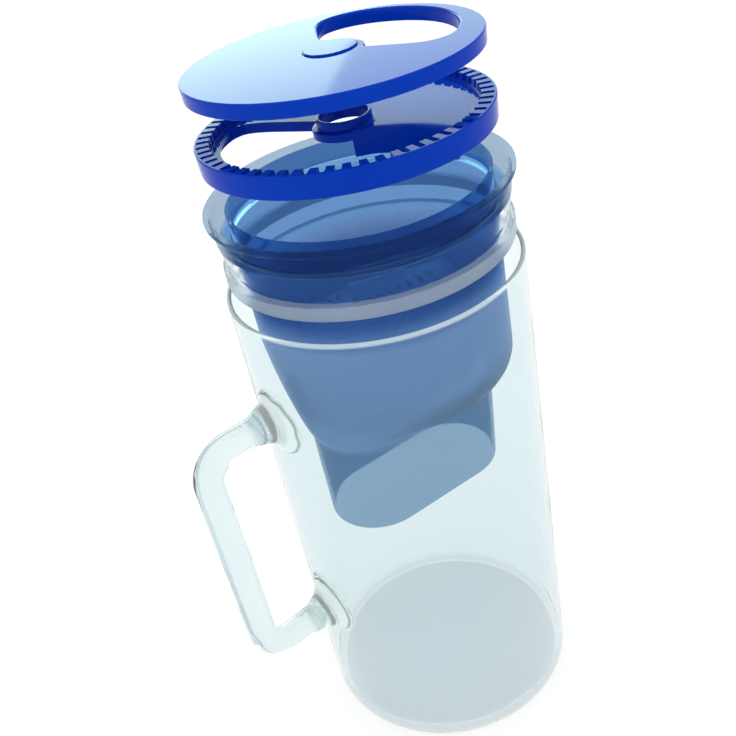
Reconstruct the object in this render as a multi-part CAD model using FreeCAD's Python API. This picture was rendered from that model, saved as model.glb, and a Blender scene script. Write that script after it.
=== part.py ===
import FreeCAD, Part
import math
import os

# Glass water filter pitcher, drawn pulled apart along its axis:
# glass jug with a bent rod handle, translucent hopper with its silicone
# gasket, shutter ring, lid on its pivot, and the filter cartridge in the
# hopper's socket.  Millimetres, +Z up, origin at the middle of the base,
# handle towards -X.
V = FreeCAD.Vector

# ---------------------------------------------------------------- jug
jug_r = 60.0            # outer radius of the glass
jug_wall = 1.8
jug_h = 225.0
jug_floor = 3.6         # thickness of the base
jug_base_r = 3.5        # rounding of the base edge

# ---------------------------------------------------------------- handle
rod_r = 6.0
arm_hi = 183.0          # centre line of the upper arm
arm_lo = 74.8
grip_x = -94.6
bend_r = 12.5
pad_r = 14.3            # lens of melted glass at each weld
pad_t = 2.4
pad_hi = 181.0
pad_lo = 76.0
neck_r = 10.8           # neck between lens and rod
neck_mid_r = 7.6
neck_mid = 4.0
neck_len = 9.0

# ---------------------------------------------------------------- hopper
hop_top = 260.7         # top of the flange
lip_r = 59.7
lip_t = 2.0
col_r_top = 57.85       # collar, outer, under the lip
col_r_bot = 57.2
col_in_top = 57.0
col_in_bot = 56.0
shelf_z = 251.0
shelf_t = 1.5
body_r = 51.2
hop_wall = 1.5
dam_z = 260.3           # top of the bowl's own wall, inside the collar
sock_a = 42.3           # half length of the socket's open oval bottom
sock_b = 22.65          # half width
sock_z0 = 115.1
sock_draft = 1.3        # how much wider the socket is at its top
sock_shift = 1.2        # and how far its top leans away from the handle
seat_w = 0.9            # step at the socket's top that carries the cartridge
hop_turn = -3.3         # turn of the oval against the handle, degrees
belly_z = 159.0         # where the bowl meets the socket
join_z = 216.0

# ---------------------------------------------------------------- gasket
gas_z0 = 232.8
gas_band_r = 57.45
gas_waist_r = 55.4

# ---------------------------------------------------------------- ring
ring_z0 = 277.7
ring_z1 = 286.4
ring_r_top = 55.6
ring_r_bot = 55.3
ring_in = 49.7
ledge_in = 46.6
ledge_z = 283.0
teeth = 60
slot_w = 2.5
slot_d = 2.6
slot_end = 54.6         # radius where the slots stop short of the rim
hub_r = 10.4
hub_bore = 9.1
hub_foot_r = 12.4
hub_z0 = 279.8          # underside of the hub
foot_gap = 56.4         # middle of the side where the hub has no foot, degrees
plate_t = 1.5

# ---------------------------------------------------------------- lid
lid_z0 = 304.2
lid_z1 = 309.6
lid_r = 54.2
lid_t = 2.0
lid_wall = 1.5
stud_r = 5.95
stud_hole = 6.0
stud_head_r = 9.6
plug_r = 9.04
plug_z0 = 293.6
boss_z = 304.5          # underside of the lid's centre boss

# ---------------------------------------------------------------- cartridge
car_a = 39.2
car_b = 20.0
car_shift = 0.4
car_lift = 36.0         # drawn this far above its seat
car_h = 33.1            # height of the shell
car_z1 = belly_z + 1.5 + car_lift
car_z0 = car_z1 - car_h
car_wall = 1.4

os.makedirs("parts", exist_ok=True)


def save(name, shape):
    shape = shape.removeSplitter() if shape.ShapeType in ("Solid", "Compound") else shape
    sol = shape.Solids
    out = sol[0] if len(sol) == 1 else Part.makeCompound(sol)
    print("%-26s solids %d  volume %.1f  valid %s" % (name, len(sol), out.Volume, out.isValid()))
    out.exportStep("parts/" + name + ".step")


def turned(pts):
    # solid of revolution about Z from (r, z) corner points
    w = Part.makePolygon([V(r, 0, z) for r, z in pts] + [V(pts[0][0], 0, pts[0][1])])
    return Part.Face(w).revolve(V(0, 0, 0), V(0, 0, 1), 360)


def arc_pts(cr, cz, r, a0, a1, n):
    # points on an arc in the (r, z) half plane, angles in degrees
    out = []
    for i in range(n + 1):
        a = math.radians(a0 + (a1 - a0) * i / n)
        out.append((cr + r * math.cos(a), cz + r * math.sin(a)))
    return out


def oval_wire(a, b, z, sx=0.0):
    # stadium of half length a (along X) and half width b, at height z, with
    # its middle at x = sx
    c = a - b
    e = [Part.makeLine(V(sx - c, -b, z), V(sx + c, -b, z)),
         Part.Arc(V(sx + c, -b, z), V(sx + a, 0, z), V(sx + c, b, z)).toShape(),
         Part.makeLine(V(sx + c, b, z), V(sx - c, b, z)),
         Part.Arc(V(sx - c, b, z), V(sx - a, 0, z), V(sx - c, -b, z)).toShape()]
    return Part.Wire(e)


def oval_prism(a, b, z0, z1, sx=0.0):
    return Part.Face(oval_wire(a, b, z0, sx)).extrude(V(0, 0, z1 - z0))


def oval_loft(secs):
    # straight-sided solid through (a, b, z, shift) stadiums
    return Part.makeLoft([oval_wire(*q) for q in secs], True, True)


def oval_radius(t, a, b, sx):
    # distance from the axis to the stadium in direction t
    ux, uy = math.cos(t), abs(math.sin(t))
    c = a - b
    if uy > 1e-9 and abs(b / uy * ux - sx) <= c:
        return b / uy
    e = sx + c if ux > 0 else sx - c
    return e * ux + math.sqrt(max(b * b - e * e * uy * uy, 0.0))


def ring_curve(fun, z, n=72):
    pts = []
    for i in range(n):
        t = 2 * math.pi * i / n
        r = fun(t)
        pts.append(V(r * math.cos(t), r * math.sin(t), z))
    c = Part.BSplineCurve()
    c.interpolate(pts, PeriodicFlag=True)
    return Part.Wire([c.toShape()])


# ================================================================ jug
ri = jug_r - jug_wall
rim = jug_wall / 2
prof = [(0, 0.0)]
prof += arc_pts(jug_r - jug_base_r, jug_base_r, jug_base_r, -90, 0, 8)
prof += arc_pts(jug_r - rim, jug_h - rim, rim, 0, 180, 8)
prof += arc_pts(ri - 5.0, jug_floor + 5.0, 5.0, 0, -90, 8)
prof += [(0, jug_floor)]
jug = turned(prof)
save("jug_body", jug)

# ================================================================ handle
x0 = -(jug_r + neck_len)    # where the rod leaves the neck of each pad


def rod(p, q):
    d = q.sub(p)
    return Part.makeCylinder(rod_r, d.Length, p, d)


def bend(cx, cz, a0, a1):
    # quarter torus in the XZ plane
    s = math.radians(a0)
    p = V(cx + bend_r * math.cos(s), 0, cz + bend_r * math.sin(s))
    tan = V(-math.sin(s), 0, math.cos(s))
    f = Part.Face(Part.Wire([Part.makeCircle(rod_r, p, tan)]))
    return f.revolve(V(cx, 0, cz), V(0, -1, 0), a1 - a0)


cx = grip_x + bend_r
bar = rod(V(x0, 0, arm_hi), V(cx, 0, arm_hi))
bar = bar.fuse([bend(cx, arm_hi - bend_r, 90, 180),
                rod(V(grip_x, 0, arm_hi - bend_r), V(grip_x, 0, arm_lo + bend_r)),
                bend(cx, arm_lo + bend_r, 180, 270),
                rod(V(cx, 0, arm_lo), V(x0, 0, arm_lo))])
save("handle_bar", bar)


def pad(z, za):
    # lens of glass flowed against the wall at height z, with a neck up to
    # the arm at height za
    disc = Part.makeCylinder(pad_r, 30, V(-jug_r + 12, 0, z), V(-1, 0, 0))
    skin = Part.makeCylinder(jug_r + pad_t, 60, V(0, 0, z - 30))
    disc = disc.common(skin)
    root = Part.makeCylinder(neck_r, 6, V(-jug_r + 6, 0, za), V(-1, 0, 0))
    neck = Part.makeCone(neck_r, neck_mid_r, neck_mid, V(-jug_r, 0, za), V(-1, 0, 0))
    tip = Part.makeCone(neck_mid_r, rod_r + 0.1, neck_len - neck_mid, V(-jug_r - neck_mid, 0, za), V(-1, 0, 0))
    p = disc.fuse([root, neck, tip])
    p = p.cut(Part.makeCylinder(jug_r + 0.02, 80, V(0, 0, z - 40)))
    return p


save("handle_pad_upper", pad(pad_hi, arm_hi))
save("handle_pad_lower", pad(pad_lo, arm_lo))


# ================================================================ hopper
def belly(rc, a, b, zb):
    # radius of the bowl in direction t at height z: round above, falling
    # into the oval below, steeper on the side away from the handle
    def at(z):
        def f(t):
            k = 0.5 - 0.5 * math.cos(t)            # 1 on the handle side
            k = k * k
            zt = zb + 24 + 28 * k
            p = 1.62 - 0.27 * k
            ro = oval_radius(t, a, b, sock_shift)
            s = min(max((zt - z) / (zt - zb), 0.0), 1.0)
            return ro + (rc - ro) * max(1 - s ** p, 0.0) ** (1 / p)
        return f
    return at


def bowl(rc, a, b, zb, ztop):
    at = belly(rc, a, b, zb)
    zs = [0.0, 0.35, 1.1, 2.4, 4.4, 7.0, 10.5, 14.5, 19.0, 24.0, 29, 34, 39, 44, 48.5, 52.5]
    zs = [zb + d for d in zs] + [ztop]
    return Part.makeLoft([ring_curve(at(z), z) for z in zs], True, True)


sock_z1 = belly_z + 1.5     # level of the step
ta, tb = sock_a + sock_draft, sock_b + sock_draft
w = hop_wall
so = oval_loft([(sock_a - 0.4, sock_b - 0.4, sock_z0, 0.0), (sock_a, sock_b, sock_z0 + 0.4, 0.0),
                (ta, tb, sock_z1, sock_shift)])
si = oval_loft([(sock_a - w + 0.3, sock_b - w + 0.3, sock_z0 - 0.3, 0.0), (sock_a - w, sock_b - w, sock_z0 + 0.4, 0.0),
                (ta - w, tb - w, sock_z1, sock_shift), (ta - w, tb - w, sock_z1 + 2.0, sock_shift)])
bo = bowl(body_r - 0.15, ta + 0.1, tb + 0.1, belly_z, join_z + 2)
bi = bowl(body_r - w - 0.05, ta - w + seat_w, tb - w + seat_w, sock_z1, join_z + 3)
top = turned([(body_r, join_z), (body_r + 0.05, shelf_z - shelf_t), (col_r_bot - 0.8, shelf_z - shelf_t),
              (col_r_bot, shelf_z - shelf_t + 0.8), (col_r_top, hop_top - lip_t),
              (lip_r - 0.3, hop_top - lip_t), (lip_r, hop_top - lip_t + 0.4), (lip_r, hop_top - 0.5),
              (lip_r - 0.5, hop_top), (col_in_top + 0.5, hop_top), (col_in_top, hop_top - 0.5),
              (col_in_bot, shelf_z), (body_r + 0.15, shelf_z), (body_r, dam_z - 0.3), (body_r - 0.3, dam_z),
              (body_r - 1.2, dam_z), (body_r - w, dam_z - 0.3), (body_r - w, join_z)])
hop = so.fuse(bo).cut(si.fuse(bi)).fuse(top)
hop.rotate(V(0, 0, 0), V(0, 0, 1), hop_turn)
save("hopper", hop)

# ================================================================ gasket
g = gas_z0
gas = turned([(body_r + 0.25, shelf_z - shelf_t - 1.6), (body_r + 0.25, shelf_z - shelf_t - 0.05),
              (col_r_bot - 0.7, shelf_z - shelf_t - 0.05), (col_r_bot - 0.4, shelf_z - shelf_t - 0.7),
              (gas_waist_r + 0.3, g + 9.6), (gas_waist_r, g + 8.0), (gas_waist_r + 0.3, g + 7.2),
              (gas_band_r - 0.3, g + 6.6), (gas_band_r, g + 6.0), (gas_band_r, g + 0.7), (gas_band_r - 0.5, g),
              (gas_band_r - 1.5, g), (gas_band_r - 1.9, g + 0.6), (gas_waist_r - 1.0, g + 5.6),
              (gas_waist_r - 1.4, g + 8.0), (gas_waist_r - 1.0, g + 10.0),
              (col_r_bot - 2.0, shelf_z - shelf_t - 1.9)])
save("hopper_gasket", gas)

# ================================================================ ring
rg = turned([(body_r + 0.9, ring_z0), (ring_r_bot - 0.6, ring_z0), (ring_r_bot, ring_z0 + 0.6),
             (ring_r_top, ring_z1 - 0.5), (ring_r_top - 0.5, ring_z1), (ring_in + 0.3, ring_z1),
             (ring_in, ring_z1 - 0.4), (ring_in, ledge_z), (ledge_in, ledge_z), (ledge_in, ledge_z - plate_t),
             (body_r - 1.9, ledge_z - plate_t), (body_r + 0.2, ring_z0 + 3.0), (body_r + 0.9, ring_z0 + 2.4)])
cuts = []
for i in range(teeth):
    b = Part.makeBox(slot_end - ring_in + 1.6, slot_w, slot_d + 1, V(ring_in - 1.6, -slot_w / 2, ring_z1 - slot_d))
    b.rotate(V(0, 0, 0), V(0, 0, 1), 360.0 * i / teeth + 3.0)
    cuts.append(b)
rg = rg.cut(Part.makeCompound(cuts))

# edges of the half plate, as (radius, azimuth) from the hub out to the rim
edge_l = [(9.3, 110), (15.6, 111), (25.8, 113), (34.8, 114), (42.0, 116), (45.6, 119.5), (47.6, 126), (48.6, 136),
          (48.9, 146)]
edge_r = [(11.3, -116), (12.2, -102), (14.6, -87), (19.2, -79.5), (25.0, -75.2), (31.0, -74.6), (37.5, -76.4),
          (42.6, -77.6), (46.5, -77.8), (49.0, -77.0)]


def polar(r, a):
    return V(r * math.cos(math.radians(a)), r * math.sin(math.radians(a)), 0)


def strip(path, w, z0, z1):
    # curved wall of width w along a path
    c = Part.BSplineCurve()
    c.interpolate([polar(r, a) for r, a in path])
    n = 24
    lft, rgt = [], []
    for i in range(n + 1):
        u = c.FirstParameter + (c.LastParameter - c.FirstParameter) * i / n
        p, t = c.value(u), c.tangent(u)[0]
        nrm = V(-t.y, t.x, 0)
        lft.append(p + nrm * (w / 2))
        rgt.append(p - nrm * (w / 2))
    a, b = Part.BSplineCurve(), Part.BSplineCurve()
    a.interpolate(lft)
    b.interpolate(rgt)
    wire = Part.Wire([a.toShape(), Part.makeLine(lft[-1], rgt[-1]), b.toShape(), Part.makeLine(rgt[0], lft[0])])
    f = Part.Face(wire)
    f.translate(V(0, 0, z0))
    return f.extrude(V(0, 0, z1 - z0)), [c.value(c.FirstParameter + (c.LastParameter - c.FirstParameter) * i / 40)
                                         for i in range(41)]


wall_l, line_l = strip(edge_l, 1.7, ledge_z - 3.6, ledge_z + 0.3)
wall_r, line_r = strip(edge_r, 1.7, ledge_z - 9.4, ledge_z + 0.3)
keep = Part.makeCylinder(48.9, 40, V(0, 0, 255))
wall_l, wall_r = wall_l.common(keep), wall_r.common(keep)
outline = list(line_l)
a0, a1 = 146.0, -77.0
for i in range(1, 61):
    outline.append(polar(49.2, a0 + (a1 - a0) * i / 60))
outline += list(reversed(line_r))
for i in range(1, 13):
    outline.append(polar(9.3, -88 + (110 + 88) * i / 13.0))
outline.append(outline[0])
plate = Part.Face(Part.makePolygon(outline))
plate.translate(V(0, 0, ledge_z - plate_t))
plate = plate.extrude(V(0, 0, plate_t - 0.05))
hub = turned([(hub_bore, hub_z0), (hub_foot_r - 0.4, hub_z0), (hub_foot_r, hub_z0 + 0.4),
              (hub_foot_r, ledge_z - 0.5), (hub_foot_r - 0.5, ledge_z - 0.1), (hub_r + 0.3, ledge_z),
              (hub_r, ledge_z + 0.4), (hub_r, ring_z1 - 0.4), (hub_r - 0.4, ring_z1), (hub_bore + 0.3, ring_z1),
              (hub_bore, ring_z1 - 0.4)])
# the foot runs only round the near side; under the plate the hub ends level with it
gap = Part.makeBox(30, 40, 4, V(2, -20, ledge_z - plate_t + 0.05 - 4))
gap.rotate(V(0, 0, 0), V(0, 0, 1), foot_gap)
hub = hub.cut(gap)
rg = rg.fuse([plate, wall_l, wall_r, hub])
rg = rg.cut(Part.makeCylinder(hub_bore, 40, V(0, 0, 260)))
save("shutter_ring", rg)

# ================================================================ lid
cover = turned([(0, lid_z1 - lid_t), (lid_r - lid_wall, lid_z1 - lid_t), (lid_r - lid_wall - 0.3, lid_z0 + 0.4),
                (lid_r - lid_wall + 0.1, lid_z0), (lid_r - 0.5, lid_z0), (lid_r - 0.1, lid_z0 + 0.5),
                (lid_r, lid_z1 - 1.2), (lid_r - 0.35, lid_z1 - 0.4), (lid_r - 1.2, lid_z1), (0, lid_z1)])
boss = Part.makeCylinder(10.4, lid_z1 - 1.0 - boss_z, V(0, 0, boss_z))
# fill opening: two near-radial ends joined by an arc that is off centre
mouth = [(13.6, -60), (22.0, -61.5), (31.0, -61.6), (37.0, -59.5), (41.2, -54.5), (43.6, -47.5), (44.9, -38.6),
         (46.2, -30), (47.4, -20), (48.6, -8), (49.5, 4), (49.9, 16), (50.0, 26), (49.9, 35), (49.0, 44), (47.0, 51.5),
         (43.4, 57.5), (37.6, 61.2), (30.0, 63), (22.0, 65), (15.5, 66), (12.6, 52), (12.1, 20), (12.1, -15),
         (12.4, -44)]


def closed(path, grow, z):
    pts = [polar(r, a) for r, a in path]
    c = Part.BSplineCurve()
    c.interpolate(pts, PeriodicFlag=True)
    n = 96
    out = []
    for i in range(n):
        u = c.FirstParameter + (c.LastParameter - c.FirstParameter) * i / n
        p, t = c.value(u), c.tangent(u)[0]
        out.append(V(p.x + t.y * grow, p.y - t.x * grow, z))
    d = Part.BSplineCurve()
    d.interpolate(out, PeriodicFlag=True)
    return Part.Face(Part.Wire([d.toShape()]))


collar = closed(mouth, 1.5, lid_z0).extrude(V(0, 0, lid_z1 - 1.0 - lid_z0))
collar = collar.common(Part.makeCylinder(lid_r - 0.9, 40, V(0, 0, 290)))
lid = cover.fuse([boss, collar])
lid = lid.cut(closed(mouth, 0.0, lid_z0 - 5).extrude(V(0, 0, 20)))
lid = lid.cut(Part.makeCylinder(stud_hole, 30, V(0, 0, 290)))
# shallow seat for the head of the stud
lid = lid.cut(Part.makeCylinder(stud_head_r + 0.4, 5, V(0, 0, lid_z1 - 0.6)))
save("lid", lid)

# ================================================================ pivot
stud = turned([(0, plug_z0 + 1.0), (4.5, plug_z0 + 1.0), (4.5, boss_z - 0.1), (stud_r, boss_z - 0.1),
               (stud_r, lid_z1 - 0.5), (stud_head_r, lid_z1 - 0.5), (stud_head_r, lid_z1 + 0.3),
               (stud_head_r - 0.4, lid_z1 + 0.6), (0, lid_z1 + 0.6)])
save("pivot_stud", stud)
plug = turned([(4.52, plug_z0 + 0.0), (plug_r - 0.8, plug_z0), (plug_r, plug_z0 + 0.9), (plug_r, boss_z - 0.1),
               (4.52, boss_z - 0.1)])
save("pivot_plug", plug)

# ================================================================ cartridge
cs = car_shift


def turn_save(name, shape):
    # the cartridge is turned with the oval socket that it hangs in
    shape.rotate(V(0, 0, 0), V(0, 0, 1), hop_turn)
    save(name, shape)


shell = oval_loft([(car_a - 3.0, car_b - 3.0, car_z0, cs), (car_a - 0.9, car_b - 0.9, car_z0 + 1.0, cs),
                   (car_a, car_b, car_z0 + 3.0, cs), (car_a, car_b, car_z1, cs)])
shell = shell.cut(oval_prism(car_a - car_wall, car_b - car_wall, car_z0 + 3.4, car_z1 + 1, cs))
shell = shell.cut(oval_loft([(car_a - 4.2, car_b - 4.2, car_z0 + 1.4, cs),
                             (car_a - car_wall, car_b - car_wall, car_z0 + 3.4, cs),
                             (car_a - car_wall, car_b - car_wall, car_z0 + 4.4, cs)]))
slots = [Part.makeBox(1.4, 20.0, 6.0, V(cs + 4.0 * i - 0.7, -10.0, car_z0 - 2)) for i in range(-6, 7)]
shell = shell.cut(Part.makeCompound(slots))
turn_save("cartridge_shell", shell)

z = car_z0 + 3.5
ra, rb = car_a - car_wall - 0.1, car_b - car_wall - 0.1
turn_save("cartridge_bottom_screen", oval_prism(ra, rb, z, z + 0.6, cs))
turn_save("filter_media", oval_prism(ra, rb, z + 0.65, car_z1 - 3.4, cs))
turn_save("cartridge_top_screen", oval_prism(ra, rb, car_z1 - 3.35, car_z1 - 2.75, cs))

# cap: flange that rests on the socket's step, domed cover with slots, spigot
# into the shell and a finger grip
zc = car_z1 + 0.05
fa, fb = ta - w + seat_w - 0.4, tb - w + seat_w - 0.4
cap = oval_prism(fa, fb, zc, zc + 1.6, sock_shift).fuse(
    oval_loft([(38.8, 19.6, zc + 1.0, cs), (37.8, 18.6, zc + 9.0, cs), (35.2, 16.0, zc + 14.0, cs), (30.0, 11.4, zc + 17.0, cs)]))
cap = cap.cut(oval_loft([(37.6, 18.4, zc - 1, cs), (36.5, 17.3, zc + 8.6, cs), (34.1, 14.9, zc + 12.9, cs),
                         (29.4, 10.8, zc + 15.5, cs)]))
spigot = oval_prism(car_a - car_wall - 0.15, car_b - car_wall - 0.15, zc - 2.6, zc + 1.0, cs).cut(
    oval_prism(car_a - car_wall - 1.3, car_b - car_wall - 1.3, zc - 3, zc + 1.4, cs))
cap = cap.fuse(spigot)
tops = [Part.makeBox(1.5, 6.4, 8, V(cs + 5.0 * i - 0.75, s * 7.2 - 3.2, zc + 12)) for i in range(-4, 5) for s in (-1, 1)]
cap = cap.cut(Part.makeCompound(tops))
grip = Part.makeBox(26, 3.2, 9.0, V(cs - 13, -1.6, zc + 15.8)).cut(
    Part.makeCylinder(2.2, 10, V(cs, -5, zc + 20.6), V(0, 1, 0)))
cap = cap.fuse(grip)
turn_save("cartridge_cap", cap)

seal = oval_prism(ta - w - 0.6, tb - w - 0.6, car_z1 - 5.2, car_z1 - 2.6, sock_shift - 0.2).cut(
    oval_prism(car_a + 0.03, car_b + 0.03, car_z1 - 6, car_z1, cs))
turn_save("cartridge_seal", seal)
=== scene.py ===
import math

import bmesh
import bpy
from mathutils import Matrix, Vector


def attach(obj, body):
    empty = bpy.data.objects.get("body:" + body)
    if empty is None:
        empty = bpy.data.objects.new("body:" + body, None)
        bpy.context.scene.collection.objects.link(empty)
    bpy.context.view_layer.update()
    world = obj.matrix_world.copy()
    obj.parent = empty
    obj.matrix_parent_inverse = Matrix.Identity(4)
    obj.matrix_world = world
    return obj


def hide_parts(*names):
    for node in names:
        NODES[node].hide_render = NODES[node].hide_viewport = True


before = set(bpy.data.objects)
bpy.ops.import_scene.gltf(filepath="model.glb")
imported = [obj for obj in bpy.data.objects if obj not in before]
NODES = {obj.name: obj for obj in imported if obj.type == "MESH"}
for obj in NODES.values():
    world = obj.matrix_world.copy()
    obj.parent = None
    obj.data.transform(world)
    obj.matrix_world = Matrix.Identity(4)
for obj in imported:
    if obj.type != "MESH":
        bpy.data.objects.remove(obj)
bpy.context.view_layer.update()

MM = 0.001
scene = bpy.context.scene


# ------------------------------------------------------------------ mesh tools
def mesh_obj(name, verts, faces):
    me = bpy.data.meshes.new(name)
    me.from_pydata([(x * MM, y * MM, z * MM) for x, y, z in verts], [], faces)
    me.validate()
    ob = bpy.data.objects.new(name, me)
    scene.collection.objects.link(ob)
    tidy(ob)
    return ob


def tidy(ob):
    # one outward orientation all over, no doubled points
    bm = bmesh.new()
    bm.from_mesh(ob.data)
    bmesh.ops.remove_doubles(bm, verts=bm.verts, dist=1e-7)
    bmesh.ops.recalc_face_normals(bm, faces=bm.faces)
    bm.to_mesh(ob.data)
    bm.free()
    ob.data.update()


def smooth(ob, angle=38):
    for p in ob.data.polygons:
        p.use_smooth = True
    ob.data.set_sharp_from_angle(angle=math.radians(angle))


def rings_obj(name, rings, closed=False, caps=False):
    # skin over rings of equal length; closed joins the last ring to the first
    n, m = len(rings[0]), len(rings)
    verts = [p for r in rings for p in r]
    faces = []
    for i in range(m if closed else m - 1):
        a, b = i * n, ((i + 1) % m) * n
        for j in range(n):
            k = (j + 1) % n
            faces.append((a + j, a + k, b + k, b + j))
    if caps:
        for i, r in ((0, rings[0]), (m - 1, rings[-1])):
            c = len(verts)
            verts.append(tuple(sum(p[q] for p in r) / n for q in range(3)))
            for j in range(n):
                faces.append((i * n + j, i * n + (j + 1) % n, c))
    return mesh_obj(name, verts, faces)


def lathe(name, prof, seg=192, closed=False):
    # solid of revolution about Z through (r, z) points; r of 0 is a pole
    verts, faces, idx = [], [], []
    for r, z in prof:
        if r < 1e-6:
            idx.append([len(verts)])
            verts.append((0.0, 0.0, z))
        else:
            base = len(verts)
            for j in range(seg):
                a = 2 * math.pi * j / seg
                verts.append((r * math.cos(a), r * math.sin(a), z))
            idx.append(list(range(base, base + seg)))
    m = len(prof)
    for i in range(m if closed else m - 1):
        p, q = idx[i], idx[(i + 1) % m]
        for j in range(seg):
            k = (j + 1) % seg
            if len(p) == 1 and len(q) == 1:
                continue
            if len(p) == 1:
                faces.append((p[0], q[k], q[j]))
            elif len(q) == 1:
                faces.append((p[j], p[k], q[0]))
            else:
                faces.append((p[j], p[k], q[k], q[j]))
    return mesh_obj(name, verts, faces)


def fillet(pts, closed=True, n=4):
    # (x, y, radius) corners -> outline with rounded corners
    out, m = [], len(pts)
    for i, (x, y, rad) in enumerate(pts):
        if rad <= 0 or (not closed and i in (0, m - 1)):
            out.append((x, y))
            continue
        ax, ay, _ = pts[i - 1]
        bx, by, _ = pts[(i + 1) % m]
        u, v = Vector((ax - x, ay - y)), Vector((bx - x, by - y))
        lu, lv = u.length, v.length
        u, v = u / lu, v / lv
        ang = math.acos(max(-1.0, min(1.0, u.dot(v))))
        if math.pi - ang < 0.02:
            out.append((x, y))
            continue
        d = min(rad / math.tan(ang / 2), 0.48 * lu, 0.48 * lv)
        r = d * math.tan(ang / 2)
        c = Vector((x, y)) + (u + v).normalized() * (r / math.sin(ang / 2))
        p0, p1 = Vector((x, y)) + u * d, Vector((x, y)) + v * d
        a0, a1 = math.atan2(p0.y - c.y, p0.x - c.x), math.atan2(p1.y - c.y, p1.x - c.x)
        da = (a1 - a0 + math.pi) % (2 * math.pi) - math.pi
        for k in range(n + 1):
            a = a0 + da * k / n
            out.append((c.x + r * math.cos(a), c.y + r * math.sin(a)))
    return out


def arc(cr, cz, r, a0, a1, n):
    return [(cr + r * math.cos(math.radians(a0 + (a1 - a0) * i / n)),
             cz + r * math.sin(math.radians(a0 + (a1 - a0) * i / n))) for i in range(n + 1)]


def run(p, q, step):
    # points between p and q, ends left out
    n = max(1, int(round(math.dist(p, q) / step)))
    return [tuple(p[i] + (q[i] - p[i]) * k / n for i in range(2)) for k in range(1, n)]


def boolean(ob, other, op):
    m = ob.modifiers.new("cut", "BOOLEAN")
    m.object, m.operation, m.solver = other, op, "EXACT"
    bpy.context.view_layer.update()
    dg = bpy.context.evaluated_depsgraph_get()
    me = bpy.data.meshes.new_from_object(ob.evaluated_get(dg))
    old, name = ob.data, ob.name
    ob.modifiers.clear()
    ob.data = me
    bpy.data.meshes.remove(old)
    me.name = name
    bpy.data.objects.remove(other)
    return ob


def polar(r, a):
    return (r * math.cos(math.radians(a)), r * math.sin(math.radians(a)))


def spline(pts, n, closed):
    # even samples on a Catmull-Rom curve through 2-D points
    m = len(pts)
    segs = m if closed else m - 1
    dense = []
    for i in range(segs):
        p1, p2 = Vector(pts[i]), Vector(pts[(i + 1) % m])
        p0 = Vector(pts[i - 1]) if (closed or i > 0) else p1 * 2 - p2
        p3 = Vector(pts[(i + 2) % m]) if (closed or i + 2 < m) else p2 * 2 - p1
        for k in range(24):
            t = k / 24
            dense.append(0.5 * (2 * p1 + (p2 - p0) * t + (2 * p0 - 5 * p1 + 4 * p2 - p3) * t * t
                                + (3 * p1 - p0 - 3 * p2 + p3) * t ** 3))
    dense.append(Vector(pts[0]) if closed else Vector(pts[-1]))
    acc = [0.0]
    for a, b in zip(dense, dense[1:]):
        acc.append(acc[-1] + (b - a).length)
    out, k = [], 0
    for i in range(n if closed else n + 1):
        s = acc[-1] * i / n
        while k < len(acc) - 2 and acc[k + 1] < s:
            k += 1
        f = (s - acc[k]) / max(acc[k + 1] - acc[k], 1e-12)
        out.append(dense[k].lerp(dense[k + 1], f))
    return out


def normals2(pts, closed):
    # left-hand normals of a 2-D polyline
    out, m = [], len(pts)
    for i in range(m):
        a = pts[i - 1] if (closed or i > 0) else pts[i]
        b = pts[(i + 1) % m] if (closed or i + 1 < m) else pts[i]
        t = (b - a).normalized()
        out.append(Vector((-t.y, t.x)))
    return out


def prism(name, pts, z0, z1):
    # upright solid on a closed 2-D outline
    n = len(pts)
    verts = [(p[0], p[1], z0) for p in pts] + [(p[0], p[1], z1) for p in pts]
    faces = [tuple(range(n)), tuple(range(n, 2 * n))]
    faces += [(j, (j + 1) % n, n + (j + 1) % n, n + j) for j in range(n)]
    return mesh_obj(name, verts, faces)


def flats(ob):
    # normals weighted by face area, so the wide faces stay flat up to their rounded edges
    m = ob.modifiers.new("flats", "WEIGHTED_NORMAL")
    m.mode, m.weight, m.keep_sharp = "FACE_AREA", 100, True
    dg = bpy.context.evaluated_depsgraph_get()
    me = bpy.data.meshes.new_from_object(ob.evaluated_get(dg))
    old, name = ob.data, ob.name
    ob.modifiers.clear()
    ob.data = me
    bpy.data.meshes.remove(old)
    me.name = name


def bevel(ob, width, seg=2, angle=40):
    m = ob.modifiers.new("edge", "BEVEL")
    m.width, m.segments, m.limit_method = width * MM, seg, "ANGLE"
    m.angle_limit = math.radians(angle)
    m.use_clamp_overlap = True
    m.miter_outer = "MITER_ARC"
    m.harden_normals = False
    dg = bpy.context.evaluated_depsgraph_get()
    me = bpy.data.meshes.new_from_object(ob.evaluated_get(dg))
    old, name = ob.data, ob.name
    ob.modifiers.clear()
    ob.data = me
    bpy.data.meshes.remove(old)
    me.name = name


# ------------------------------------------------------------------ materials
def new_mat(name):
    m = bpy.data.materials.new(name)
    m.use_nodes = True
    nt = m.node_tree
    return m, nt, nt.nodes["Principled BSDF"]


def node(nt, kind, **sockets):
    n = nt.nodes.new(kind)
    for k, v in sockets.items():
        if k in n.inputs:
            n.inputs[k].default_value = v
    return n


def coords(nt):
    return nt.nodes.new("ShaderNodeTexCoord").outputs["Object"]


def noise(nt, co, scale, detail=2.0, rough=0.5):
    n = node(nt, "ShaderNodeTexNoise", Scale=scale, Detail=detail, Roughness=rough)
    nt.links.new(co, n.inputs["Vector"])
    return n.outputs["Fac"]


def ramp(nt, fac, a, b, pa=0.3, pb=0.7):
    r = nt.nodes.new("ShaderNodeValToRGB")
    r.color_ramp.elements[0].position, r.color_ramp.elements[1].position = pa, pb
    r.color_ramp.elements[0].color, r.color_ramp.elements[1].color = (*a, 1), (*b, 1)
    nt.links.new(fac, r.inputs["Fac"])
    return r.outputs["Color"]


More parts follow.
